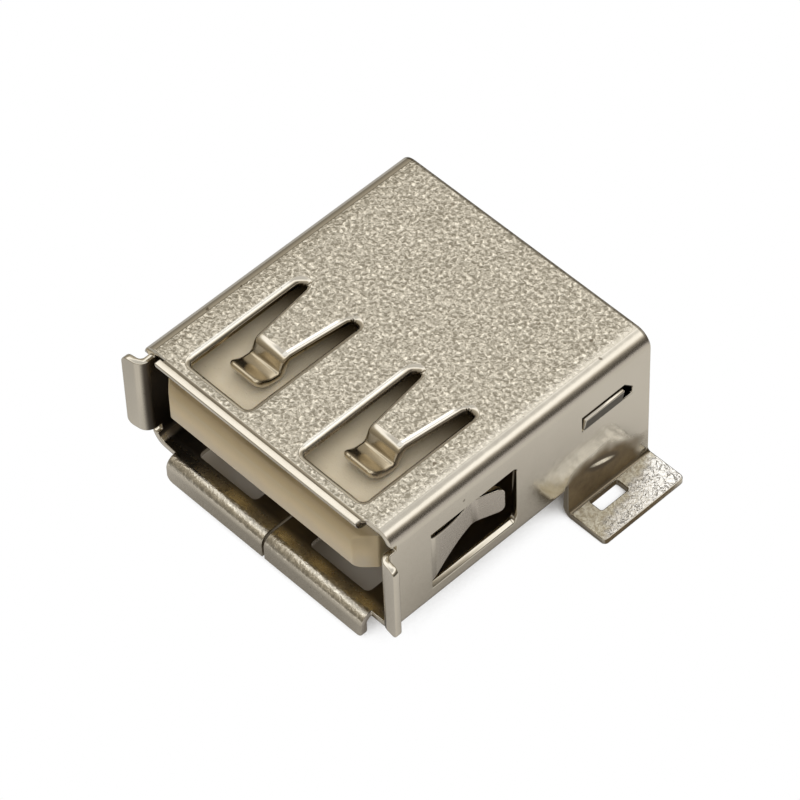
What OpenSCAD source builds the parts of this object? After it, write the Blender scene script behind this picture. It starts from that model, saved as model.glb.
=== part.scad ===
// Surface-mount socket for a flat four-contact data and power plug.
// One folded sheet-metal shell with sprung windows, flared mouth lips and two solder feet
// holds a moulded insulator, whose tongue carries four sprung contacts.
// X runs across the mouth, Y into the mouth, Z up from the board. Sizes are in millimetres.

/* [Mouth] */
// clear width between the side walls
mouth_w = 12.5; // [12:0.05:13]
// clear height between floor and roof
mouth_h = 5.12; // [4.9:0.02:5.5]

/* [Shell] */
// thickness of the folded sheet
sheet = 0.3; // [0.2:0.05:0.35]
// length from the front edge to the rear edge
shell_l = 13.3; // [12.5:0.1:15]
// inside radius of the four long folds
fold_r = 0.4; // [0.1:0.05:0.5]
// height of the shell's underside above the board
standoff = 1.25; // [1:0.05:2]
// width of the seam where the two halves of the floor meet
seam = 0.1; // [0.06:0.02:0.2]

/* [Mouth lips] */
// inside radius of the curl that turns each lip outward
curl_r = 0.22; // [0.1:0.02:0.4]
// how far the side lips stand out from the walls
side_lip = 0.7; // [0.5:0.05:1.2]
// angle through which the side lips are turned outward
side_lip_angle = 82; // [60:1:90]
// height of the side lips
side_lip_h = 3.9; // [3:0.1:4.1]
// how far the floor lips hang below the floor
floor_lip = 0.9; // [0.5:0.05:0.95]
// how far the roof lip stands above the roof
roof_lip = 0.26; // [0.24:0.02:0.8]
// width of the roof lip, and of both floor lips together
lip_w = 10.6; // [9:0.1:11.2]

/* [Roof and floor springs] */
// distance of each window's centre line from the middle
window_x = 3.02; // [2.6:0.02:3.2]
// width of each window
window_w = 3.12; // [2.6:0.02:3.3]
// distance of the windows from the front edge
window_y = 0.52; // [0.4:0.02:1]
// length of the windows
window_l = 5.62; // [5:0.02:6]
// width of the slots beside the root of a spring
slot_w = 0.43; // [0.3:0.01:0.5]
// width of a spring at its knee
knee_w = 1.66; // [1:0.02:1.7]
// how far a spring reaches into the mouth
spring_reach = 0.62; // [0.4:0.02:0.66]

/* [Side springs] */
// distance of the side windows from the front edge
side_window_y = 1.95; // [1.6:0.05:2.4]
// length of the side windows
side_window_l = 4.35; // [4.2:0.05:4.6]
// height of the side windows
side_window_h = 2.9; // [2.6:0.05:3.1]
// how far a side spring reaches into the mouth
side_reach = 0.36; // [0.3:0.02:0.55]

/* [Feet] */
// length of a foot along the shell
foot_l = 4.3; // [3.6:0.1:4.6]
// how far a foot stands out from the wall
foot_out = 1.9; // [1.5:0.05:2.4]
// length of the hole through a foot
foot_hole_l = 1.45; // [1:0.05:2]

/* [Insulator] */
// width of the tongue
tongue_w = 11.1; // [10.8:0.05:11.3]
// thickness of the tongue
tongue_t = 1.84; // [1.7:0.02:1.95]
// gap between the tongue and the roof
roof_gap = 0.72; // [0.7:0.01:0.85]
// how far the tongue's front stands ahead of the shell's front edge
tongue_ahead = 0.4; // [0:0.05:0.45]
// length of the tongue
tongue_l = 8.9; // [8.6:0.05:9.2]

/* [Contacts] */
// distance of the two inner contacts from the middle
inner_x = 1; // [0.9:0.05:1.1]
// distance of the two outer contacts from the middle
outer_x = 3.5; // [3.4:0.05:3.6]
// width of a contact
contact_w = 1; // [0.8:0.05:1.2]
// thickness of a contact
contact_t = 0.25; // [0.15:0.05:0.3]
// how far a contact's crest stands below the tongue
contact_reach = 0.5; // [0.3:0.05:0.7]
// how far the solder tails reach behind the shell
tail_out = 0.9; // [0.5:0.05:1.5]

/* [Hidden] */
$fn = 48;
cut = 1;

shell_w = mouth_w + 2 * sheet;
shell_h = mouth_h + 2 * sheet;
fold_out = fold_r + sheet;
floor_top = standoff + sheet;
roof_under = floor_top + mouth_h;
middle_z = standoff + shell_h / 2;
wall_x = shell_w / 2;
curl_out = curl_r + sheet;
lip_corner_r = 0.3;
lip_relief_h = 0.3;
lip_relief_l = 0.25;
function lip_run(reach, angle) = (reach + sheet - curl_out * (1 - cos(angle))) / sin(angle);
side_lip_front = curl_out * sin(side_lip_angle) + lip_run(side_lip, side_lip_angle) * cos(side_lip_angle);
lip_front = max(curl_out, side_lip_front);

window_r = 0.22;
spring_root_w = window_w - 2 * slot_w;
spring_bend_r = 0.15;
knee_angle = 65;
tip_angle = 8;
tip_l = 0.97;
tip_flat_l = 0.25;
tip_curl_r = 0.6;
tip_curl = 24;
spring_tip_r = 0.3;
spring_root_y = window_y + window_l - slot_w / 2;
spring_flat_l = 2.56;
spring_bend_drop = (sheet + 2 * spring_bend_r) * (1 - cos(knee_angle));
spring_drop_l = (spring_reach - spring_bend_drop) / sin(knee_angle);
spring_knee_l = spring_bend_r * sin(knee_angle) + spring_drop_l * cos(knee_angle);
spring_valley_l = (sheet + spring_bend_r) * (sin(knee_angle) + sin(tip_angle));
spring_l = spring_flat_l + spring_knee_l + spring_valley_l + tip_l * cos(tip_angle);

side_window_drop = 0.15;
side_window_z = middle_z - side_window_drop;
side_lean = 9;
side_return = 12;
side_bend_r = 1.2;
side_slit = 0.2;
side_root_h = side_window_h - 2 * side_slit;
side_tip_h = 1.3;
side_tip_l = 1.14;
side_steps = 12;
side_tip_r = 0.3;
side_slope_l = (side_reach - (sheet + 2 * side_bend_r) * (1 - cos(side_lean))) / sin(side_lean);
side_bends_l = (sheet + 2 * side_bend_r) * sin(side_lean) + side_bend_r * sin(side_return);
side_spring_l = side_bends_l + side_slope_l * cos(side_lean) + side_tip_l * cos(side_return);

louver_up = 1.16;
louver_z = middle_z + louver_up;
louver_h = 0.8;
louver_l = 2.65;
louver_tab_l = 2.05;
louver_rear = 0.95;
louver_lean = 10;
louver_slant = 0.45;
louver_gap = 0.08;
louver_bend_h = (sheet + spring_bend_r) * sin(louver_lean);
louver_run = (louver_h - louver_gap - louver_bend_h) / cos(louver_lean);

foot_bend_r = 0.15;
foot_hole_w = 0.65;
foot_hole_r = 0.1;
foot_hole_rear = 1.9;
foot_relief = 0.15;
foot_leg_top = standoff + fold_out;
foot_blank = foot_out + standoff;
foot_corner_r = 0.2;
floor_rear_cut = 1.7;

lock_y = 8.4;
lock_l = 1.1;
lock_neck = 1.3;
lock_head = 2;

tongue_top = roof_under - roof_gap;
tongue_under = tongue_top - tongue_t;
tongue_chamfer = 0.7;
tongue_edge_r = 0.3;
block_front = tongue_l - tongue_ahead;
block_inset = 0.75;
block_rear = shell_l - block_inset;
block_side_gap = 0.04;
block_edge_r = fold_r + block_side_gap;
louver_depth = 0.6;
louver_room = 0.12;

channel_room = 0.1;
channel_w = contact_w + 2 * channel_room;
channel_h = 1;
channel_front = 0.7;

contact_bend_r = 0.2;
contact_up = 0.35;
contact_z = tongue_under + contact_up;
contact_crest_y = 2.6;
contact_drop = contact_z - tongue_under + contact_reach;
contact_lean = atan2(contact_drop, block_front - contact_crest_y);
contact_rise = 32;
contact_tip_up = 0.3;
contact_bend_drop = (contact_t + 2 * contact_bend_r) * (1 - cos(contact_lean));
contact_slope_l = (contact_drop - contact_bend_drop) / sin(contact_lean);
contact_tip_l = (contact_reach + contact_tip_up) / sin(contact_rise);
contact_tail_l = shell_l + tail_out - block_rear - 2 * contact_bend_r - contact_t;
contact_riser_h = contact_z - contact_t - 2 * contact_bend_r;

socket_front = -lip_front;
socket_rear = shell_l + tail_out;
socket_middle = (socket_front + socket_rear) / 2;

// Rectangle about the origin with round corners.
module round_rect(size, r) {
  square([size.x - 2 * r, size.y], center = true);
  square([size.x, size.y - 2 * r], center = true);
  for (sx = [-1, 1], sy = [-1, 1]) {
    translate([sx * (size.x / 2 - r), sy * (size.y / 2 - r)])
      circle(r);
  }
}

// Straight length of strip in a side view; the next length starts at its end.
module straight(length, t) {
  square([length, t]);
  translate([length, 0])
    children();
}

// Turn about a centre that stands above or below the origin.
module turned(angle, centre_y) {
  translate([0, centre_y])
    rotate(angle)
      translate([0, -centre_y])
        children();
}

// Bend of a strip about an inside radius; a positive angle turns the strip upward.
// The ring is trimmed square to the strip where the bend starts and where it ends.
module bend(r, angle, t) {
  centre_y = angle > 0 ? t + r : -r;
  far = 2 * (r + t);
  difference() {
    translate([0, centre_y])
      difference() {
        circle(r + t);
        circle(r);
      }
    translate([-2 * far, centre_y - far])
      square(2 * far);
    turned(angle, centre_y)
      translate([0, centre_y - far])
        square(2 * far);
  }
  turned(angle, centre_y)
    children();
}

// Side view drawn forward and up, carried across the socket.
module across(width) {
  rotate([90, 0, -90])
    linear_extrude(width, center = true)
      children();
}

// Front view drawn right and up, carried along the socket.
module along(length) {
  translate([0, length, 0])
    rotate([90, 0, 0])
      linear_extrude(length)
        children();
}

module both_sides() {
  children();
  mirror([1, 0, 0])
    children();
}

module roof_and_floor() {
  children();
  translate([0, 0, 2 * middle_z])
    mirror([0, 0, 1])
      children();
}

// Folded tube of the shell, open at both ends.
module tube() {
  translate([0, 0, middle_z])
    along(shell_l)
      difference() {
        round_rect([shell_w, shell_h], fold_out);
        round_rect([mouth_w, mouth_h], fold_r);
      }
}

// Lip that leaves the sheet forward and curls outward.
module lip(reach, angle = 90) {
  bend(curl_r, angle, sheet)
    straight(lip_run(reach, angle), sheet);
}

// Side lip, drawn longer than the outline that trims it.
module side_lip() {
  intersection() {
    translate([wall_x - sheet, 0, middle_z - side_lip_h / 2])
      rotate([0, 0, -90])
        linear_extrude(side_lip_h)
          lip(side_lip + sheet, side_lip_angle);
    translate([wall_x - cut, -cut, middle_z])
      along(2 * cut)
        round_rect([2 * (side_lip + cut), side_lip_h], lip_corner_r);
  }
}

module roof_lip() {
  translate([0, 0, roof_under])
    across(lip_w)
      lip(roof_lip);
}

module floor_lips() {
  intersection() {
    translate([0, 0, floor_top])
      mirror([0, 0, 1])
        across(lip_w)
          lip(floor_lip);
    translate([0, -cut, standoff])
      along(2 * cut)
        round_rect([lip_w, 2 * floor_lip], lip_corner_r);
  }
}

// Plan of one roof window: open at the front, with two round-ended slots beside the spring's root.
module window_plan() {
  translate([0, window_y + (spring_root_y - window_y) / 2])
    round_rect([window_w, spring_root_y - window_y], window_r);
  for (side = [-1, 1]) {
    translate([side * (window_w - slot_w) / 2, spring_root_y])
      circle(slot_w / 2);
    translate([side * (window_w - slot_w) / 2 - slot_w / 2, spring_root_y - 2 * window_r])
      square([slot_w, 2 * window_r]);
  }
}

// End of a strip that runs up to the origin and has two round corners there.
module round_end(length, width, r) {
  translate([-length, -width / 2])
    square([length - r, width]);
  translate([-length, r - width / 2])
    square([length, width - 2 * r]);
  for (side = [-1, 1]) {
    translate([-r, side * (width / 2 - r)])
      circle(r);
  }
}

// Plan of a spring: tapers from its root to its knee, then runs straight to its round-cornered tip.
module spring_plan() {
  root = spring_root_w / 2;
  knee = knee_w / 2;
  polygon([[-root, 0], [root, 0], [knee, -spring_flat_l], [-knee, -spring_flat_l]]);
  rotate(-90)
    translate([spring_l, 0])
      round_end(spring_l - spring_flat_l, knee_w, spring_tip_r);
}

// Side view of a spring: flat from the root, down over the knee, up again and past the curled tip.
module spring_side() {
  straight(spring_flat_l, sheet)
    bend(spring_bend_r, -knee_angle, sheet)
      straight(spring_drop_l, sheet)
        bend(spring_bend_r, knee_angle + tip_angle, sheet)
          straight(tip_flat_l, sheet)
            bend(tip_curl_r, tip_curl, sheet)
              straight(tip_l, sheet);
}

module spring() {
  translate([0, spring_root_y, 0])
    intersection() {
      translate([0, 0, roof_under])
        across(spring_root_w)
          spring_side();
      translate([0, 0, roof_under - mouth_h / 2])
        linear_extrude(mouth_h)
          spring_plan();
    }
}

// Side view of the notches that free the ends of a side lip's bend.
module lip_relief_view() {
  for (side = [-1, 1]) {
    translate([-cut, middle_z + side * (side_lip_h + lip_relief_h) / 2 - lip_relief_h / 2])
      square([cut + lip_relief_l, lip_relief_h]);
  }
}

// Side view of a side window and of the spring that leaves its front edge.
module side_window_view() {
  translate([side_window_y + side_window_l / 2, side_window_z])
    round_rect([side_window_l, side_window_h], window_r);
  translate([side_window_y, side_window_z - side_window_h / 2])
    square([2 * window_r, side_slit]);
  translate([side_window_y, side_window_z + side_window_h / 2 - side_slit])
    square([2 * window_r, side_slit]);
}

// Half the height of a side spring, which tapers in a smooth curve from its root.
function side_half_h(at) = side_tip_h / 2 + (side_root_h - side_tip_h) / 2 * (1 - sin(90 * at / side_slope_l));

module side_spring_view() {
  steps = [for (i = [0:side_steps]) side_slope_l * i / side_steps];
  lower = [for (at = steps) [at, -side_half_h(at)]];
  upper = [for (i = [side_steps:-1:0]) [steps[i], side_half_h(steps[i])]];
  polygon(concat(lower, upper));
  translate([side_spring_l, 0])
    round_end(side_spring_l - side_slope_l, side_tip_h, side_tip_r);
}

// Plan of a side spring: leans into the mouth, then turns back to the wall and runs past the tip.
module side_spring_plan() {
  bend(side_bend_r, side_lean, sheet)
    straight(side_slope_l, sheet)
      bend(side_bend_r, -side_lean - side_return, sheet)
        straight(side_tip_l + sheet, sheet);
}

module side_spring() {
  translate([wall_x, side_window_y, side_window_z])
    intersection() {
      rotate([0, 0, 90])
        linear_extrude(side_root_h, center = true)
          side_spring_plan();
      rotate([90, 0, 90])
        translate([0, 0, -wall_x / 2])
          linear_extrude(wall_x)
            side_spring_view();
    }
}

// Side view of the opening that a louver leaves in the wall.
module louver_view() {
  rear = shell_l - louver_rear;
  polygon([
    [rear - louver_l, louver_z - louver_h], [rear, louver_z - louver_h],
    [rear, louver_z - louver_slant], [rear - louver_slant, louver_z], [rear - louver_l, louver_z]
  ]);
}

// Tab of a louver, standing on the opening's lower edge and leaning out of the wall.
module louver_tab() {
  translate([wall_x, shell_l - louver_rear - louver_l + louver_gap, louver_z - louver_h])
    rotate([90, -90, 180])
      mirror([0, 1])
        linear_extrude(louver_tab_l)
          bend(spring_bend_r, -louver_lean, sheet)
            straight(louver_run, sheet);
}

// Foot: the wall runs on below the floor and turns outward onto the board.
module foot() {
  leg_l = foot_leg_top - foot_bend_r - sheet;
  difference() {
    intersection() {
      translate([wall_x - sheet, shell_l, foot_leg_top])
        rotate([90, 90, 0])
          linear_extrude(foot_l)
            straight(leg_l, sheet)
              bend(foot_bend_r, 90, sheet)
                straight(foot_out - foot_bend_r, sheet);
      translate([wall_x + foot_out - foot_blank, shell_l - foot_l / 2, 0])
        linear_extrude(foot_leg_top)
          round_rect([2 * foot_blank, foot_l], foot_corner_r);
    }
    translate([wall_x + foot_bend_r + foot_hole_w / 2, shell_l - foot_hole_rear - foot_hole_l / 2, -cut])
      linear_extrude(2 * cut)
        round_rect([foot_hole_w, foot_hole_l], foot_hole_r);
  }
}

// Parts of the floor that are missing because the feet were cut from them, and at the rear for the tails.
module floor_cuts() {
  cut_h = fold_out + cut;
  both_sides() {
    translate([wall_x - foot_blank, shell_l - foot_l - foot_relief, standoff - cut])
      cube([foot_blank + cut, foot_l + foot_relief + cut, cut_h]);
  }
  translate([-wall_x, shell_l - floor_rear_cut, standoff - cut])
    cube([shell_w, floor_rear_cut + cut, cut_h]);
}

// Outline of the dovetail by which one half of the floor holds the other.
module floor_lock(grow) {
  polygon([
    [0, lock_y - lock_neck / 2 - grow], [lock_l + grow, lock_y - lock_head / 2 - grow],
    [lock_l + grow, lock_y + lock_head / 2 + grow], [0, lock_y + lock_neck / 2 + grow]
  ]);
}

module floor_seam() {
  translate([0, 0, standoff - floor_lip - cut])
    linear_extrude(floor_lip + cut + sheet + curl_r) {
      translate([-seam / 2, -lip_front - cut])
        square([seam, lip_front + cut + lock_y - lock_neck / 2]);
      translate([-seam / 2, lock_y + lock_neck / 2])
        square([seam, shell_l - lock_y]);
      difference() {
        floor_lock(seam / 2);
        floor_lock(-seam / 2);
      }
    }
}

module shell_openings() {
  for (side = [-1, 1]) {
    translate([side * window_x, 0, standoff - cut])
      linear_extrude(shell_h + 2 * cut)
        window_plan();
  }
  translate([-wall_x - cut, 0, 0])
    rotate([90, 0, 90])
      linear_extrude(shell_w + 2 * cut) {
        lip_relief_view();
        side_window_view();
        louver_view();
      }
  floor_cuts();
}

module shell() {
  color("Silver")
    translate([0, -socket_middle, 0])
      difference() {
        union() {
          difference() {
            tube();
            shell_openings();
          }
          both_sides() {
            side_lip();
            side_spring();
            louver_tab();
            foot();
            roof_and_floor()
              translate([window_x, 0, 0])
                spring();
          }
          roof_lip();
          floor_lips();
        }
        floor_seam();
      }
}

// Plan of the tongue, with chamfered front corners.
module tongue_plan() {
  side = tongue_w / 2;
  front = -tongue_ahead;
  polygon([
    [side, block_front], [-side, block_front], [-side, front + tongue_chamfer],
    [tongue_chamfer - side, front], [side - tongue_chamfer, front], [side, front + tongue_chamfer]
  ]);
}

// Tongue with rounded upper and lower front edges, reaching into the block.
module tongue() {
  run = tongue_l + 2 * tongue_edge_r;
  intersection() {
    translate([0, 0, tongue_under])
      linear_extrude(tongue_t)
        tongue_plan();
    translate([0, run / 2 - tongue_ahead, tongue_under + tongue_t / 2])
      across(tongue_w)
        round_rect([run, tongue_t], tongue_edge_r);
  }
}

// Block behind the tongue, held between the shell's floor and roof.
module block() {
  translate([0, block_front, middle_z])
    along(block_rear - block_front)
      round_rect([mouth_w - 2 * block_side_gap, mouth_h], block_edge_r);
}

// Channel under the tongue in which a contact can flex, and its slot through the block.
module contact_channel() {
  translate([-channel_w / 2, channel_front, tongue_under - cut])
    cube([channel_w, block_front - channel_front, cut + channel_h]);
  translate([-contact_w / 2, block_front - cut, contact_z])
    cube([contact_w, block_rear - block_front + 2 * cut, contact_t]);
}

// Hollow in the block's side behind a louver.
module louver_pocket() {
  rear = shell_l - louver_rear + louver_room;
  pocket_l = louver_l + 2 * louver_room;
  pocket_h = louver_h + 2 * louver_room;
  translate([mouth_w / 2 - louver_depth, rear - pocket_l, louver_z + louver_room - pocket_h])
    cube([louver_depth + cut, pocket_l, pocket_h]);
}

module insulator() {
  color("Ivory")
    translate([0, -socket_middle, 0])
      difference() {
        union() {
          tongue();
          block();
        }
        for (x = [-outer_x, -inner_x, inner_x, outer_x]) {
          translate([x, 0, 0])
            contact_channel();
        }
        both_sides()
          louver_pocket();
      }
}

// Contact strip from its solder tail, up behind the block, through it and down to the crest under the tongue.
module contact(x) {
  color("Gold")
    translate([x, socket_rear - socket_middle, 0])
      across(contact_w)
        straight(contact_tail_l, contact_t)
          bend(contact_bend_r, 90, contact_t)
            straight(contact_riser_h, contact_t)
              bend(contact_bend_r, -90, contact_t)
                straight(block_rear - block_front, contact_t)
                  bend(contact_bend_r, -contact_lean, contact_t)
                    straight(contact_slope_l, contact_t)
                      bend(contact_bend_r, contact_lean + contact_rise, contact_t)
                        straight(contact_tip_l, contact_t);
}

module contact_1() {
  contact(-outer_x);
}

module contact_2() {
  contact(-inner_x);
}

module contact_3() {
  contact(inner_x);
}

module contact_4() {
  contact(outer_x);
}

shell();
insulator();
contact_1();
contact_2();
contact_3();
contact_4();
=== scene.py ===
import math

import bmesh
import bpy
from mathutils import Matrix, Vector


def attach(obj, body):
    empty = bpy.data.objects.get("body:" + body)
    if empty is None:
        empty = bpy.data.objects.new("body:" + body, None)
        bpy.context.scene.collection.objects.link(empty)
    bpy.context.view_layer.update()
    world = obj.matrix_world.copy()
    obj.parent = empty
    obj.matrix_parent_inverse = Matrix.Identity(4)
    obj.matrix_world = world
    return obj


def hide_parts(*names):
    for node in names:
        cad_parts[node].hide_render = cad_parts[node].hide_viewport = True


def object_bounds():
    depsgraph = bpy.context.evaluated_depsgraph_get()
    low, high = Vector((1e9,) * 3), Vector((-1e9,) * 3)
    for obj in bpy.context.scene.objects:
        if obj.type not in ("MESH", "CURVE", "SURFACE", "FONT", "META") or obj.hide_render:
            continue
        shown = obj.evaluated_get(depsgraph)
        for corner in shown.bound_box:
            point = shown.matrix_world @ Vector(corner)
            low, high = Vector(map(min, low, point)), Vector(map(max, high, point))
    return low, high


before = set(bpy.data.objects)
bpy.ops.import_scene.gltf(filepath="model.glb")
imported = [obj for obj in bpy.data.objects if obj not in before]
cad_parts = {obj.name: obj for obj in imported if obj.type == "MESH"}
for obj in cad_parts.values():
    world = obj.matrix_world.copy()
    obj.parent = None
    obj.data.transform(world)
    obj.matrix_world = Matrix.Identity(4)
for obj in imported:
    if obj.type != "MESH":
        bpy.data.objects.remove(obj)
cad_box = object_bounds()

# Lengths are in millimetres in the CAD frame: X across the mouth, Y from the mouth to the tails, Z up.
# A point within TOUCH of a place is at it, and points within WELD are one.
MM = 0.001
TOUCH = 0.01
WELD = 2e-4

# The shell's sheet and tube. Lengths along Y count from the tube's front edge.
SHEET = 0.3
TUBE_L = 13.3
TAILS_END = 14.2
WALL_X = 6.55
FLOOR_TOP = 1.55
ROOF_UNDER = 6.67
ROOF_TOP = 6.97
FRONT_Y = cad_box[1][1] / MM - TAILS_END
REAR_Y = FRONT_Y + TUBE_L

# Windows in roof and floor, from just ahead of them to just behind, and the fingers in them, which widen
# from the knee to the root.
WINDOW_X = 3.02
WINDOW_W = 3.12
WINDOW_FRONT = FRONT_Y + 0.4
WINDOW_REAR = FRONT_Y + 6.2
WINDOW_MARGIN = 0.02
FINGER_MARGIN = 0.3
FINGER_REACH = 1.2
FINGER_TAPER = 0.117
KNEE_Y = FRONT_Y + 3.365
KNEE_HALF_W = 0.83

# Sills of the side windows: punched height, slope with two cuts that keep its crease narrow, and the rear
# corner that goes down with them. The brink is where the slope meets the wall's rolled edge.
SILL_Z = 2.51
SILL_SLOPE_W = 0.19
SILL_CUTS = (SILL_SLOPE_W, 0.9 * SILL_SLOPE_W)
SILL_CREASE_DROP = 0.14
SILL_EDGE_DROP = 0.25
SILL_CORNER_R = 0.22
SILL_REAR = (FRONT_Y + 6.0, FRONT_Y + 6.4)
BRINK_DEPTH = (0.02, 0.08)
BRINK_NEAR = 0.005

# Springs in the side windows.
SPRING_X = 5.7
SPRING_Z = (2.7, 5.3)
SPRING_ROOT_Y = FRONT_Y + 2.17
SPRING_KNEE_Y = FRONT_Y + 4.24
SPRING_TIP_Y = FRONT_Y + 5.75
SPRING_LIFT = 0.27

# The roof's lip, which is carried forward from the start of its bend on.
LIP_HALF_W = 5.31
LIP_LOWEST = ROOF_UNDER - 0.05
LIP_BEND = 0.2
LIP_CARRY = 0.05

# Middle of the feet, and what the right wall shows above its foot.
FOOT_Y = FRONT_Y + 11.15
BLOT_AT = (FOOT_Y - 0.6, 0.9)
BLOT_HALF = (2.6, 1.8)
DENT_AT = (FOOT_Y - 0.37, 1.80)
DENT_TILT = math.radians(-19.6)
DENT_HALF = (0.95, 0.36)
GLINT_HALF = (0.62, 0.11)

# Width and segments of the rolled edges.
FINGER_ROLL = (0.17, 4)
WINDOW_ROLL = (0.28, 5)
FLOOR_ROLL = (0.1, 3)
SHEET_ROLL = (0.045, 2)
MOULDED_ROLL = (0.07, 3)
STRIP_ROLL = (0.03, 2)

# Faces closer than FLAT_ANGLE are one face, edges over ROLLED_ANGLE are rolled, and edges over SMOOTH_ANGLE
# stay sharp in the shading. A face looks up where its normal rises more than LOOKS_UP, and is level over LEVEL.
FLAT_ANGLE = math.radians(0.4)
ROLLED_ANGLE = math.radians(32)
SMOOTH_ANGLE = math.radians(48)
LOOKS_UP = 0.35
LEVEL = 0.99

# Colours of the plated sheet. A pair is the two ends of a mix, here and below.
NICKEL = ((0.56, 0.515, 0.43), (0.61, 0.565, 0.48))
GRAIN = ((0.235, 0.21, 0.16), (0.67, 0.62, 0.52))
# Painted highlight specks on the grain.
GRAIN_HIGHLIGHT = (0.95, 0.89, 0.76)
# Painted highlight on the rolled rims of the roof windows.
RIM_HIGHLIGHT = (0.90, 0.86, 0.77)
# Painted shade on the roof's fingers from the knee down.
BENT_FINGER_SHADE = (0.46, 0.395, 0.285)
# Painted shade on the cut edges of the roof windows, darkest at the slots' rear ends.
PUNCHED_EDGE_SHADE = (0.48, 0.40, 0.27)
SLOT_END_SHADE = (0.09, 0.07, 0.045)
# Painted shade along the roof's rear cut edge, standing in for its rollover turning away.
REAR_EDGE_SHADE = (0.10, 0.085, 0.06)
PIT = (0.16, 0.13, 0.09)
WORN_FOOT = ((0.66, 0.58, 0.42), (1.0, 0.95, 0.79))
TIN = ((0.22, 0.20, 0.17), (1.0, 0.985, 0.95))
# Dark brown blot on the right wall above its foot.
BLOT_BROWN = ((0.075, 0.048, 0.02), (0.25, 0.18, 0.09))
# Painted shade over the dent in the right wall, and a painted glint in it.
DENT_SHADE = (0.07, 0.05, 0.03)
GLINT = (0.66, 0.61, 0.50)
# Painted shade on the louver tabs.
LOUVER_SHADE = (0.03, 0.022, 0.012)
# Painted shade on the side springs, less where they turn toward the rear.
SIDE_SPRING_SHADE = ((0.47, 0.425, 0.375), (0.57, 0.52, 0.46))
# Painted shade in the bend from a wall to its foot.
FOOT_CROOK_SHADE = (0.13, 0.10, 0.06)
# Painted shade on the sheet's inside.
INSIDE_SHADE = (0.095, 0.08, 0.064)

# Colours of the moulding and of the contacts.
CREAM = ((0.53, 0.45, 0.33), (0.63, 0.55, 0.42))
TAN = ((0.575, 0.455, 0.265), (0.67, 0.55, 0.35))
# Painted light on the moulding's upward faces.
PAINTED_LIT_TOP = ((0.70, 0.60, 0.425), (0.80, 0.70, 0.52))
# Painted shadow of the roof lip at the top of the tongue's front.
TONGUE_BROW_SHADE = (0.36, 0.28, 0.16)
# Painted shade on the tongue's top, deep under the roof.
DEEP_TONGUE_SHADE = (0.17, 0.12, 0.06)
FLECK = (0.40, 0.315, 0.18)
BRONZE = ((0.70, 0.52, 0.22), (0.83, 0.64, 0.30))
TINNED_TAIL = (0.62, 0.60, 0.56)

# Soft borders of the strip of table that the part covers.
COVERED_RIGHT = (5.0, 5.3)
COVERED_LEFT = (-5.7, -6.0)
COVERED_FRONT = (FRONT_Y + 0.9, FRONT_Y + 0.6)
COVERED_REAR = (6.5, 6.7)

# Colours of the table and the light tent.
WHITE = (1.0, 1.0, 1.0)
TABLE = (0.92, 0.92, 0.92)
# Painted shadow under the part, on top of the real one.
TABLE_UNDER_SHADOW = (0.60, 0.56, 0.51)
TABLE_MIRRORED = ((0.61, 0.60, 0.58), (0.82, 0.80, 0.77))
TABLE_SHADE = (0.15, 0.135, 0.115)
TENT_WALL = (1.0, 0.92, 0.78)

# The photograph's camera, in degrees and millimetres.
CAMERA_AZIMUTH = 47.52
CAMERA_ELEVATION = 50.6
CAMERA_TILT = -2.23
CAMERA_AIM = (2.472, -2.386, 7.436)
CAMERA_AWAY = 164.73
CAMERA_LENS = 205.04


def sharp(edge):
    """Whether an edge is one that is rolled over."""
    return len(edge.link_faces) == 2 and edge.calc_face_angle(0) > ROLLED_ANGLE


def in_window_plan(edge):
    """Whether an edge lies in a roof or floor window, seen from above."""
    for v in edge.verts:
        if abs(abs(v.co.x) - WINDOW_X) > WINDOW_W / 2 + WINDOW_MARGIN:
            return False
        if not WINDOW_FRONT < v.co.y < WINDOW_REAR:
            return False
    return True


def on_finger(edge):
    """Whether an edge of a window is the finger's and not the window's own."""
    return all(abs(abs(v.co.x) - WINDOW_X) < WINDOW_W / 2 - FINGER_MARGIN for v in edge.verts)


def roof_rim(edge):
    """Outer edge of a roof window or of a roof finger, on the side that the punch entered."""
    if not in_window_plan(edge) or min(v.co.z for v in edge.verts) < ROOF_UNDER - FINGER_REACH:
        return False
    cut, face = sorted(f.normal.z for f in edge.link_faces)
    return face > LOOKS_UP and abs(cut) < LOOKS_UP


def floor_rim(edge):
    """Outer edge of a floor window or of a floor finger."""
    if not in_window_plan(edge) or max(v.co.z for v in edge.verts) > FLOOR_TOP + FINGER_REACH:
        return False
    face, cut = sorted(f.normal.z for f in edge.link_faces)
    return face < -LOOKS_UP and abs(cut) < LOOKS_UP


def sill_drop(depth):
    """How far a side window's sill lies below its punched height, at a depth under the wall's outside."""
    return SILL_CREASE_DROP + (SILL_EDGE_DROP - SILL_CREASE_DROP) * max(0.0, 1 - depth / SILL_SLOPE_W)


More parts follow.
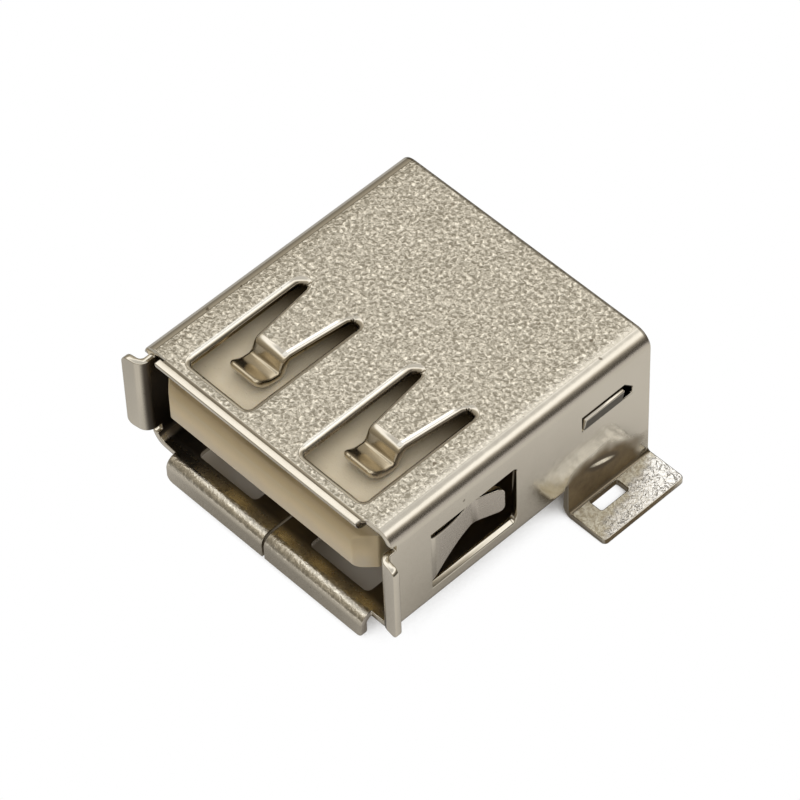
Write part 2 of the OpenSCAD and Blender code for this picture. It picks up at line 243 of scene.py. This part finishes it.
def slope_sills(bm):
    """Slope the lower edges of the side windows outward, where the punch drew the sheet down."""
    for side in (-1, 1):
        sills = []
        for f in bm.faces:
            middle = f.calc_center_median()
            if f.normal.z > LEVEL and abs(middle.z - SILL_Z) < TOUCH and 0 < WALL_X - side * middle.x < SHEET:
                sills.append(f)
        parts = sills + [e for f in sills for e in f.edges] + [v for f in sills for v in f.verts]
        parts = list(dict.fromkeys(parts))
        for width in SILL_CUTS:
            made = bmesh.ops.bisect_plane(
                bm, geom=parts, plane_co=(side * (WALL_X - width), 0, 0), plane_no=(1, 0, 0),
            )
            parts = made["geom"]
    for v in bm.verts:
        depth = WALL_X - abs(v.co.x)
        rise = v.co.z - SILL_Z
        corner = SILL_REAR[0] < v.co.y < SILL_REAR[1] and 0 <= rise < SILL_CORNER_R
        if -TOUCH < depth < SHEET + TOUCH and (abs(rise) < TOUCH or corner):
            v.co.z -= sill_drop(depth) * (1 - rise / SILL_CORNER_R)
    bm.normal_update()


def arch_side_springs(bm):
    """Arch the side springs a little upward at the knee, as they stand in the photo."""
    for v in bm.verts:
        if SPRING_X < abs(v.co.x) < WALL_X - TOUCH and SPRING_Z[0] < v.co.z < SPRING_Z[1]:
            up = (v.co.y - SPRING_ROOT_Y) / (SPRING_KNEE_Y - SPRING_ROOT_Y)
            down = (SPRING_TIP_Y - v.co.y) / (SPRING_TIP_Y - SPRING_KNEE_Y)
            v.co.z += SPRING_LIFT * max(0.0, min(up, down))
    bm.normal_update()


def carry_roof_lip(bm):
    """Carry the roof's lip a little further forward, as it stands in the photo."""
    for v in bm.verts:
        ahead = FRONT_Y - v.co.y
        if ahead > TOUCH and v.co.z > LIP_LOWEST and abs(v.co.x) < LIP_HALF_W:
            v.co.y -= LIP_CARRY * min(1.0, ahead / LIP_BEND)
    bm.normal_update()


def stamped(bm):
    """What the stamping did to the sheet beyond the CAD shape."""
    slope_sills(bm)
    arch_side_springs(bm)
    carry_roof_lip(bm)


def sill_brink(point):
    """Whether a point is on the line where a window sill's slope meets the rolled edge of the wall."""
    depth = WALL_X - abs(point.x)
    on_slope = abs(point.z - SILL_Z + sill_drop(depth)) < BRINK_NEAR
    return BRINK_DEPTH[0] < depth < BRINK_DEPTH[1] and on_slope


def roll(bm, edges, width, segments):
    """Round edges over."""
    bmesh.ops.bevel(
        bm, geom=edges, offset=width, offset_type="OFFSET", segments=segments, profile=0.5,
        affect="EDGES", clamp_overlap=False, loop_slide=True, miter_outer="SHARP", miter_inner="SHARP",
    )
    bm.normal_update()


def skin(node, name, rims, rest, shape=None, crisp=None):
    """Piece with a CAD node's shape whose edges are rolled over as stamping or moulding leaves them.

    rims pairs rolls with the edges that they are for, and rest is the roll of all other edges. shape changes the
    mesh before that, and edges between points that crisp picks stay sharp in the shading.
    """
    bm = bmesh.new()
    bm.from_mesh(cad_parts[node].data)
    bmesh.ops.scale(bm, vec=(1 / MM,) * 3, verts=bm.verts)
    bmesh.ops.remove_doubles(bm, verts=bm.verts, dist=WELD)
    bmesh.ops.dissolve_limit(bm, angle_limit=FLAT_ANGLE, verts=bm.verts, edges=bm.edges)
    bm.normal_update()
    if shape:
        shape(bm)
    for rim_roll, chosen in rims:
        roll(bm, [e for e in bm.edges if sharp(e) and chosen(e)], *rim_roll)
    roll(bm, [e for e in bm.edges if sharp(e)], *rest)
    bmesh.ops.remove_doubles(bm, verts=bm.verts, dist=WELD)
    bmesh.ops.dissolve_degenerate(bm, edges=bm.edges, dist=WELD)
    bmesh.ops.scale(bm, vec=(MM,) * 3, verts=bm.verts)
    mesh = bpy.data.meshes.new(name)
    bm.to_mesh(mesh)
    bm.free()
    mesh.shade_smooth()
    mesh.set_sharp_from_angle(angle=SMOOTH_ANGLE)
    if crisp:
        for e in mesh.edges:
            e.use_edge_sharp |= all(crisp(mesh.vertices[i].co / MM) for i in e.vertices)
    piece = bpy.data.objects.new(name, mesh)
    bpy.context.scene.collection.objects.link(piece)
    weighted = piece.modifiers.new("flat faces stay flat", "WEIGHTED_NORMAL")
    weighted.keep_sharp = True
    weighted.weight = 80
    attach(piece, "root")
    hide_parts(node)
    return piece


class Nodes:
    """Small helper that adds shader nodes and links them."""

    def __init__(self, tree):
        self.tree = tree
        tree.nodes.clear()

    def add(self, kind, **values):
        node = self.tree.nodes.new(kind)
        for key, value in values.items():
            setattr(node, key, value)
        return node

    def link(self, source, target):
        self.tree.links.new(source, target)

    def put(self, socket, value):
        """Link a socket to another one, or give it a plain value."""
        if isinstance(value, bpy.types.NodeSocket):
            self.link(value, socket)
        else:
            socket.default_value = value

    def fill(self, node, values):
        """Link or set a node's sockets by their names."""
        for key, value in values.items():
            self.put(node.inputs[key], value)

    def math(self, operation, *values, clamp=False):
        node = self.add("ShaderNodeMath", operation=operation, use_clamp=clamp)
        for socket, value in zip(node.inputs, values):
            self.put(socket, value)
        return node.outputs[0]

    def chain(self, operation, first, *others):
        """All values joined by one operation, from left to right."""
        for other in others:
            first = self.math(operation, first, other)
        return first

    def times(self, *values):
        return self.chain("MULTIPLY", *values)

    def plus(self, *values):
        return self.chain("ADD", *values)

    def most(self, *values):
        return self.chain("MAXIMUM", *values)

    def minus(self, a, b, clamp=False):
        return self.math("SUBTRACT", a, b, clamp=clamp)

    def line(self, value, slope, start):
        """Value times slope, plus start."""
        return self.math("MULTIPLY_ADD", value, slope, start)

    def absolute(self, value):
        return self.math("ABSOLUTE", value)

    def sign(self, value):
        return self.math("SIGN", value)

    def limit(self, value, high):
        """Value held between zero and high."""
        return self.math("MINIMUM", self.most(value, 0.0), high)

    def ramp(self, value, low, high, to_low=0.0, to_high=1.0):
        """Smooth step from to_low at low to to_high at high, where low may be the larger one."""
        node = self.add("ShaderNodeMapRange", interpolation_type="SMOOTHSTEP", clamp=True)
        self.fill(node, {"Value": value, "From Min": low, "From Max": high, "To Min": to_low, "To Max": to_high})
        return node.outputs[0]

    def band(self, value, low, high, soft):
        """One inside low to high, zero outside, with soft ends."""
        return self.times(self.ramp(value, low - soft, low), self.ramp(value, high, high + soft, 1.0, 0.0))

    def mix(self, factor, a, b):
        """Colour between a and b, which are colours or sockets."""
        node = self.add("ShaderNodeMix", data_type="RGBA", clamp_factor=True)
        self.put(node.inputs["Factor"], factor)
        for socket, value in ((node.inputs[6], a), (node.inputs[7], b)):
            self.put(socket, (*value, 1.0) if isinstance(value, tuple) else value)
        return node.outputs[2]

    def noise(self, vector, scale, detail, roughness, distortion=0.0):
        node = self.add("ShaderNodeTexNoise")
        self.fill(node, {"Vector": vector, "Scale": scale, "Detail": detail})
        self.fill(node, {"Roughness": roughness, "Distortion": distortion})
        return node.outputs["Fac"]

    def bump(self, height, distance, strength):
        node = self.add("ShaderNodeBump")
        self.fill(node, {"Height": height, "Distance": distance, "Strength": strength})
        return node.outputs[0]


class Surface:
    """Where a point of an object lies, in millimetres, and which way the surface looks there, as sockets."""

    def __init__(self, n):
        coordinates = n.add("ShaderNodeTexCoord")
        scaled = n.add("ShaderNodeVectorMath", operation="SCALE")
        n.link(coordinates.outputs["Object"], scaled.inputs[0])
        scaled.inputs["Scale"].default_value = 1 / MM
        self.spot = scaled.outputs[0]
        where = n.add("ShaderNodeSeparateXYZ")
        n.link(self.spot, where.inputs[0])
        self.across, self.along, self.height = where.outputs
        facing = n.add("ShaderNodeSeparateXYZ")
        n.link(coordinates.outputs["Normal"], facing.inputs[0])
        self.rightward, self.backward, self.upward = facing.outputs


class Sheet(Surface):
    """The shell's surface, with what is alike on its left and right half."""

    def __init__(self, n):
        super().__init__(n)
        self.out = n.absolute(self.across)
        self.outward = n.times(self.rightward, n.sign(self.across))
        self.from_finger = n.absolute(n.minus(self.out, WINDOW_X))
        self.level = n.ramp(self.upward, 0.992, 0.9993)
        self.wall = n.ramp(self.outward, 0.5, 0.8)


def material(name, plain_color):
    """New material with a principled shader, to be filled in."""
    made = bpy.data.materials.new(name)
    made.use_nodes = True
    made.diffuse_color = (*plain_color, 1.0)
    nodes = Nodes(made.node_tree)
    shader = nodes.add("ShaderNodeBsdfPrincipled")
    out = nodes.add("ShaderNodeOutputMaterial")
    nodes.link(shader.outputs[0], out.inputs["Surface"])
    return made, nodes, shader


def oval(n, s, middle, tilt, half):
    """Distance from the middle of a tilted oval on a side wall, one at its rim."""
    dy = n.minus(s.along, middle[0])
    dz = n.minus(s.height, middle[1])
    cos, sin = math.cos(tilt), math.sin(tilt)
    u = n.plus(n.times(dy, cos / half[0]), n.times(dz, sin / half[0]))
    v = n.minus(n.times(dz, cos / half[1]), n.times(dy, sin / half[1]))
    return n.math("SQRT", n.plus(n.times(u, u), n.times(v, v)))


def around_gaps(n, s):
    """How near a point is to the gaps beside the roof's fingers, and whether it is left of a gap's middle."""
    reach = 0.3
    finger_half = n.most(n.line(s.along, FINGER_TAPER, KNEE_HALF_W - FINGER_TAPER * KNEE_Y), KNEE_HALF_W)
    gap_half = n.line(finger_half, -0.5, WINDOW_W / 4)
    gap_middle = n.line(finger_half, 0.5, WINDOW_W / 4)
    off_gap = n.minus(gap_middle, s.from_finger)
    from_gap = n.minus(n.absolute(off_gap), gap_half)
    near = n.limit(n.minus(reach, from_gap), reach)
    near = n.times(near, n.band(s.along, WINDOW_FRONT + 0.5, WINDOW_REAR - 0.3, 0.3))
    side = n.times(n.sign(s.across), n.sign(n.minus(s.out, WINDOW_X)))
    return near, n.ramp(n.times(side, off_gap), 0.0, 0.02)


def painted_rim_highlights(n, s, near_gap, left_of_gap):
    """Painted highlight, a bright colour on the rolled rims left of the gaps beside the fingers and along the
    front of the roof windows.
    """
    high = n.ramp(s.height, ROOF_TOP - 0.12, ROOF_TOP - 0.07)
    left = n.times(left_of_gap, n.ramp(near_gap, 0.0, 0.05), n.ramp(s.upward, 0.87, 0.93), high)
    left = n.times(left, n.band(s.along, WINDOW_FRONT + 0.5, WINDOW_REAR - 0.6, 0.3))
    tilted = n.times(n.ramp(s.upward, 0.85, 0.93), n.ramp(s.upward, 0.9993, 0.992))
    front = n.times(n.ramp(s.from_finger, WINDOW_W / 2, WINDOW_W / 2 - 0.11), tilted, high)
    front = n.times(front, n.band(s.along, WINDOW_FRONT - 0.18, WINDOW_FRONT + 0.2, 0.06))
    return n.most(left, front)


def grained_roof(n, s, rim_highlights):
    """The roof's flat, less so at its right fold and on the rims with painted highlights."""
    flat = n.times(s.level, n.ramp(s.height, ROOF_TOP - 0.07, ROOF_TOP - 0.02))
    flat = n.times(flat, n.ramp(s.along, FRONT_Y - 0.12, FRONT_Y), n.ramp(s.across, 5.85, 5.6, 0.35, 1.0))
    return n.times(flat, n.line(rim_highlights, -0.8, 1.0))


def floor_lips(n, s):
    """The bend of the floor's lips, without their front."""
    low = n.ramp(s.height, FLOOR_TOP + 0.2, FLOOR_TOP - 0.05)
    return n.times(n.ramp(s.along, FRONT_Y + 0.3, FRONT_Y), low, n.ramp(s.backward, -0.97, -0.85))


def inner_faces(n, s):
    """The sheet's inside: under the roof, on the floor and on the walls, which gets a painted shade."""
    roof_under = n.times(n.ramp(s.upward, -0.3, -0.8), n.ramp(s.height, 4.5, 5.0))
    floor_top = n.times(n.ramp(s.upward, 0.2, 0.7), n.band(s.height, FLOOR_TOP - 0.1, FLOOR_TOP + 0.8, 0.1))
    floor_top = n.times(floor_top, n.ramp(s.out, WALL_X - 0.25, WALL_X - 0.35))
    behind = n.ramp(s.along, FRONT_Y - 0.05, FRONT_Y + 0.6)
    wall = n.times(n.ramp(s.outward, -0.56, -0.86), n.ramp(s.height, 1.2, 1.5), n.ramp(s.out, 5.6, 5.8))
    return n.most(n.times(n.most(roof_under, floor_top), behind), wall)


def bent_fingers(n, s):
    """The roof's fingers from the knee down, which get a darker painted shade."""
    below = n.band(s.height, 5.2, ROOF_TOP - 0.12, 0.08)
    return n.times(below, n.ramp(s.upward, 0.05, 0.25), n.ramp(s.from_finger, 1.3, 1.15))


def punched_edges(n, s):
    """The cut edges of the roof windows and their fingers, which get a painted shade, darkest at the slots' rear
    ends.
    """
    cut = n.times(n.band(s.upward, -0.3, 0.3, 0.25), n.band(s.height, ROOF_UNDER - 0.05, ROOF_TOP, 0.03))
    cut = n.times(cut, n.ramp(s.from_finger, WINDOW_W / 2 + 0.24, WINDOW_W / 2 + 0.14))
    return n.times(cut, n.band(s.along, WINDOW_FRONT + 0.05, WINDOW_REAR + 0.05, 0.05))


def tinned_end(n, s, foot):
    """The outer end of a foot, up to a ragged border."""
    ragged = n.plus(s.out, n.ramp(n.noise(s.spot, 2.2, 3.0, 0.6), 0.2, 0.8, -0.35, 0.35))
    ragged = n.line(n.minus(s.along, FOOT_Y), 0.33, ragged)
    return n.times(foot, n.ramp(ragged, 7.2, 7.8))


def louver_face(n, s):
    """The face of a louver tab, which looks a little down and gets a near-black painted shade."""
    return n.times(s.wall, n.ramp(s.upward, -0.06, -0.14), n.band(s.height, 4.5, 5.3, 0.1))


def foot_crook(n, s):
    """The inside of the bend from a wall to its foot, which gets a painted shade."""
    bend = n.times(n.ramp(s.outward, 0.1, 0.3), n.ramp(s.upward, 0.05, 0.3))
    return n.times(bend, n.ramp(s.height, 0.95, 0.75), n.ramp(s.out, 7.2, 7.0))


def plating():
    """Nickel-plated sheet: fine grain on the flat outside, smooth bends and sides, rougher inside, tinned feet,
    with painted highlights and painted shade where marked below.
    """
    made, n, shader = material("nickel_plating", (0.58, 0.535, 0.45))
    s = Sheet(n)

    near_gap, left_of_gap = around_gaps(n, s)
    rim_highlights = painted_rim_highlights(n, s, near_gap, left_of_gap)
    foot = n.times(s.level, n.ramp(s.height, 0.5, 0.4))
    tinned = tinned_end(n, s, foot)
    grained = n.most(grained_roof(n, s, rim_highlights), foot, n.times(floor_lips(n, s), 0.5))
    inside = inner_faces(n, s)
    bent = bent_fingers(n, s)
    # The side springs, which get a painted shade, less where they turn toward the rear.
    sprung = n.times(s.wall, n.ramp(s.out, WALL_X - 0.015, WALL_X - 0.08))
    louver = louver_face(n, s)
    # Painted shade along the roof's rear edge.
    rear_edge_shade = n.times(n.ramp(s.along, REAR_Y - 0.15, REAR_Y - 0.10), n.ramp(s.upward, 0.3, 0.5))
    slot_end = n.ramp(s.along, WINDOW_REAR - 0.75, WINDOW_REAR - 0.35)

    grain = n.noise(s.spot, 7.3, 2.0, 0.55, 0.6)
    speck = n.ramp(grain, 0.33, 0.67)
    clouds = n.noise(s.spot, 0.55, 2.0, 0.5)
    pits = n.ramp(n.noise(s.spot, 2.6, 1.0, 0.4), 0.755, 0.79)
    wrinkle = n.noise(s.spot, 3.4, 3.0, 0.6, 0.9)
    crease = n.ramp(n.absolute(n.minus(wrinkle, 0.5)), 0.0, 0.028)

    right_wall = n.times(s.wall, n.ramp(s.across, 0.0, 1.0))
    blot = n.plus(oval(n, s, BLOT_AT, 0.0, BLOT_HALF), n.ramp(clouds, 0.2, 0.8, -0.25, 0.25))
    # Dark brown blot on the right wall above its foot, darkest in its middle; there it is also less metallic and
    # rougher.
    brown_blot = n.times(right_wall, n.ramp(blot, 1.15, 0.75))
    # Painted shade over the dent in the right wall, and a painted glint in its middle.
    dent = n.times(right_wall, n.ramp(oval(n, s, DENT_AT, DENT_TILT, DENT_HALF), 1.2, 0.7))
    glint = n.times(right_wall, n.ramp(oval(n, s, DENT_AT, DENT_TILT, GLINT_HALF), 1.3, 0.6))

    # Each coat covers those above it: where, how much, and its colour.
    coats = (
        (grained, 0.9, n.mix(n.ramp(grain, 0.58, 0.72), n.mix(speck, *GRAIN), GRAIN_HIGHLIGHT)),
        (rim_highlights, 1.0, RIM_HIGHLIGHT),
        (bent, 1.0, BENT_FINGER_SHADE),
        (punched_edges(n, s), 1.0, n.mix(slot_end, PUNCHED_EDGE_SHADE, SLOT_END_SHADE)),
        (rear_edge_shade, 0.85, REAR_EDGE_SHADE),
        (pits, 0.8, PIT),
        (foot, 0.9, n.mix(speck, *WORN_FOOT)),
        (tinned, 1.0, n.mix(crease, *TIN)),
        (brown_blot, 1.0, n.mix(n.noise(s.spot, 1.8, 3.0, 0.65), *BLOT_BROWN)),
        (dent, 0.75, DENT_SHADE),
        (glint, 1.0, GLINT),
        (louver, 0.9, LOUVER_SHADE),
        (sprung, 0.8, n.mix(n.ramp(s.backward, 0.0, 0.13), *SIDE_SPRING_SHADE)),
        (foot_crook(n, s), 0.9, FOOT_CROOK_SHADE),
        (inside, 1.0, INSIDE_SHADE),
    )
    color = n.mix(clouds, *NICKEL)
    for mask, strength, tone in coats:
        color = n.mix(n.times(mask, strength), color, tone)
    n.link(color, shader.inputs["Base Color"])

    dull = n.minus(n.most(brown_blot, dent, louver), glint, clamp=True)
    filmed = n.times(foot, n.line(tinned, -0.5, 0.5))
    n.link(n.minus(n.line(dull, -0.7, 1.0), filmed, clamp=True), shader.inputs["Metallic"])

    satin = n.plus(
        n.ramp(n.noise(s.spot, 14.0, 2.0, 0.6), 0.2, 0.8, 0.10, 0.17),
        n.most(n.times(grained, 0.17), n.times(bent, 0.07)),
        n.times(n.line(tinned, -0.2, 0.25), foot),
        n.most(n.times(dull, 0.45), n.times(sprung, 0.14)),
        n.times(inside, 0.25),
    )
    n.link(satin, shader.inputs["Roughness"])

    # The sheet is a little wavy, and falls away towards the folds and the gaps beside the fingers.
    wavy = n.times(n.noise(s.spot, 0.9, 2.0, 0.5), 0.35)
    near_fold = n.limit(n.minus(s.out, 5.3), 0.55)
    wavy = n.line(n.times(near_fold, near_fold), -3.2, wavy)
    wavy = n.line(n.times(near_gap, near_gap), -7.0, wavy)
    relief = n.plus(n.times(grain, grained), n.times(crease, tinned, 0.4), wavy)
    n.link(n.bump(relief, 0.028 * MM, 0.9), shader.inputs["Normal"])
    return made


def cream_plastic():
    """Cream glass-filled moulding, tan except low on the tongue's front, with painted light on its upward faces
    and painted shade at the top of the tongue's front and deep on its top.
    """
    made, n, shader = material("cream_plastic", (0.68, 0.575, 0.40))
    s = Surface(n)
    cloud = n.noise(s.spot, 1.3, 3.0, 0.6)
    flat_top = n.ramp(s.upward, 0.6, 0.9)
    top = n.times(flat_top, n.ramp(s.along, FRONT_Y, FRONT_Y + 0.5))
    low = n.ramp(n.plus(s.height, n.times(cloud, 0.6)), 5.7, 4.6)
    low = n.times(low, n.ramp(s.along, FRONT_Y + 0.3, FRONT_Y - 0.1))
    brow_shade = n.times(n.ramp(s.height, 4.9, 5.8), n.ramp(s.along, FRONT_Y + 0.3, FRONT_Y))
    deep_shade = n.times(flat_top, n.ramp(s.along, FRONT_Y + 3.6, FRONT_Y + 6.4))
    fleck = n.ramp(n.noise(s.spot, 11.0, 2.0, 0.6), 0.66, 0.72)

    color = n.mix(top, n.mix(cloud, *TAN), n.mix(cloud, *PAINTED_LIT_TOP))
    color = n.mix(low, color, n.mix(cloud, *CREAM))
    color = n.mix(n.times(brow_shade, 0.6), color, TONGUE_BROW_SHADE)
    color = n.mix(deep_shade, color, DEEP_TONGUE_SHADE)
    n.link(n.mix(n.times(fleck, 0.25), color, FLECK), shader.inputs["Base Color"])
    n.link(n.ramp(cloud, 0.2, 0.8, 0.42, 0.55), shader.inputs["Roughness"])
    shader.inputs["Subsurface Weight"].default_value = 0.12
    shader.inputs["Subsurface Radius"].default_value = (0.6 * MM, 0.45 * MM, 0.25 * MM)
    shader.inputs["Subsurface Scale"].default_value = 1.0
    n.link(n.bump(n.noise(s.spot, 16.0, 3.0, 0.6), 0.012 * MM, 0.6), shader.inputs["Normal"])
    return made


def spring_bronze():
    """Drawn bronze strip with tinned tails."""
    made, n, shader = material("spring_bronze", (0.83, 0.68, 0.36))
    s = Surface(n)
    drawn = n.noise(s.spot, 9.0, 2.0, 0.5)
    color = n.mix(n.ramp(s.along, 5.4, 6.2), n.mix(drawn, *BRONZE), TINNED_TAIL)
    n.link(color, shader.inputs["Base Color"])
    shader.inputs["Metallic"].default_value = 1.0
    n.link(n.ramp(drawn, 0.2, 0.8, 0.2, 0.34), shader.inputs["Roughness"])
    n.link(n.bump(drawn, 0.006 * MM, 0.5), shader.inputs["Normal"])
    return made


def paper():
    """White table: white to the camera, dimmer in reflections with a painted shade near the part and towards the
    left, and with the part's shadow under it, partly painted as a darker colour.
    """
    made = bpy.data.materials.new("white_table")
    made.use_nodes = True
    n = Nodes(made.node_tree)
    s = Surface(n)
    diffuse = n.add("ShaderNodeBsdfDiffuse")
    glow = n.add("ShaderNodeEmission")
    path = n.add("ShaderNodeLightPath")
    mirrored = n.math("ADD", path.outputs["Is Glossy Ray"], path.outputs["Is Transmission Ray"], clamp=True)

    beside = n.most(n.ramp(s.across, *COVERED_RIGHT), n.ramp(s.across, *COVERED_LEFT))
    bare = n.most(beside, n.ramp(s.along, *COVERED_FRONT), n.ramp(s.along, *COVERED_REAR))
    n.link(n.mix(bare, TABLE_UNDER_SHADOW, TABLE), diffuse.inputs["Color"])

    open_sky = n.add("ShaderNodeAmbientOcclusion", samples=8)
    open_sky.inputs["Distance"].default_value = 8 * MM
    free = open_sky.outputs["AO"]
    lit = n.mix(n.ramp(s.across, -10, -6.5), *TABLE_MIRRORED)
    shade = n.mix(n.ramp(free, 0.35, 0.95), TABLE_SHADE, lit)
    n.link(n.mix(mirrored, WHITE, shade), glow.inputs["Color"])
    glow.inputs["Strength"].default_value = 1.0

    direct = n.times(path.outputs["Is Camera Ray"], bare, n.ramp(free, 0.12, 0.34))
    blend = n.add("ShaderNodeMixShader")
    n.link(n.math("ADD", direct, mirrored, clamp=True), blend.inputs[0])
    n.link(diffuse.outputs[0], blend.inputs[1])
    n.link(glow.outputs[0], blend.inputs[2])
    out = n.add("ShaderNodeOutputMaterial")
    n.link(blend.outputs[0], out.inputs["Surface"])
    return made


def studio():
    """Light tent: a bright ring, a softer top, and walls that darken downward, most of all on the right."""
    world = bpy.data.worlds.new("studio")
    world.use_nodes = True
    bpy.context.scene.world = world
    n = Nodes(world.node_tree)
    coordinates = n.add("ShaderNodeTexCoord")
    ray = n.add("ShaderNodeSeparateXYZ")
    n.link(coordinates.outputs["Generated"], ray.inputs[0])
    rightward, backward, upward = ray.outputs
    elevation = n.math("ARCSINE", upward)

    def rising(low, high, *levels):
        return n.ramp(elevation, math.radians(low), math.radians(high), *levels)

    on_right = n.ramp(rightward, -0.15, 0.35)
    ring = n.mix(on_right, rising(39, 51.5), rising(31, 50))
    top = rising(58.5, 63, 1.68, 0.86)
    left_wall = rising(-5, 40, 0.23, 0.56)
    right_wall = n.mix(n.ramp(backward, -0.1, -0.45), rising(12, 34, 0.11, 0.30), left_wall)
    wall = n.mix(on_right, left_wall, right_wall)
    lit = n.add("ShaderNodeMix", data_type="RGBA", blend_type="MULTIPLY")
    lit.inputs["Factor"].default_value = 1.0
    n.link(n.mix(ring, wall, top), lit.inputs[6])
    n.link(n.mix(ring, TENT_WALL, WHITE), lit.inputs[7])

    path = n.add("ShaderNodeLightPath")
    back = n.add("ShaderNodeBackground")
    n.link(n.mix(path.outputs["Is Camera Ray"], lit.outputs[2], WHITE), back.inputs["Color"])
    out = n.add("ShaderNodeOutputWorld")
    n.link(back.outputs[0], out.inputs["Surface"])


def camera():
    """Camera where the photograph's one stood."""
    azimuth, elevation, tilt = (math.radians(a) for a in (CAMERA_AZIMUTH, CAMERA_ELEVATION, CAMERA_TILT))
    level = math.cos(elevation)
    toward = Vector((math.sin(azimuth) * level, -math.cos(azimuth) * level, math.sin(elevation)))
    right = Vector((0, 0, 1)).cross(toward).normalized()
    up = toward.cross(right)
    across = math.cos(tilt) * right + math.sin(tilt) * up
    upward = math.cos(tilt) * up - math.sin(tilt) * right
    place = Vector(CAMERA_AIM) * MM + CAMERA_AWAY * MM * toward
    data = bpy.data.cameras.new("camera")
    data.lens = CAMERA_LENS
    data.sensor_width = 36
    data.clip_start = 0.001
    data.clip_end = 10
    seen = bpy.data.objects.new("camera", data)
    seen.matrix_world = Matrix.Translation(place) @ Matrix((across, upward, toward)).transposed().to_4x4()
    bpy.context.scene.collection.objects.link(seen)
    bpy.context.scene.camera = seen


def floor():
    """Wide flat table, a hair under the feet."""
    bm = bmesh.new()
    bmesh.ops.create_grid(bm, x_segments=1, y_segments=1, size=1.0)
    mesh = bpy.data.meshes.new("table")
    bm.to_mesh(mesh)
    bm.free()
    table = bpy.data.objects.new("table", mesh)
    table.location.z = -0.01 * MM
    mesh.materials.append(paper())
    bpy.context.scene.collection.objects.link(table)


shell_rims = (
    (FINGER_ROLL, lambda e: roof_rim(e) and on_finger(e)),
    (WINDOW_ROLL, lambda e: roof_rim(e) and not on_finger(e)),
    (FLOOR_ROLL, floor_rim),
)
shell = skin("shell", "shell_sheet", shell_rims, SHEET_ROLL, shape=stamped, crisp=sill_brink)
shell.data.materials.append(plating())

insulator = skin("insulator", "insulator_moulding", (), MOULDED_ROLL)
insulator.data.materials.append(cream_plastic())

bronze = spring_bronze()
for number in range(1, 5):
    strip = skin("contact_%d" % number, "contact_strip_%d" % number, (), STRIP_ROLL)
    strip.data.materials.append(bronze)

floor()
studio()
camera()
bpy.context.scene.view_settings.view_transform = "Standard"
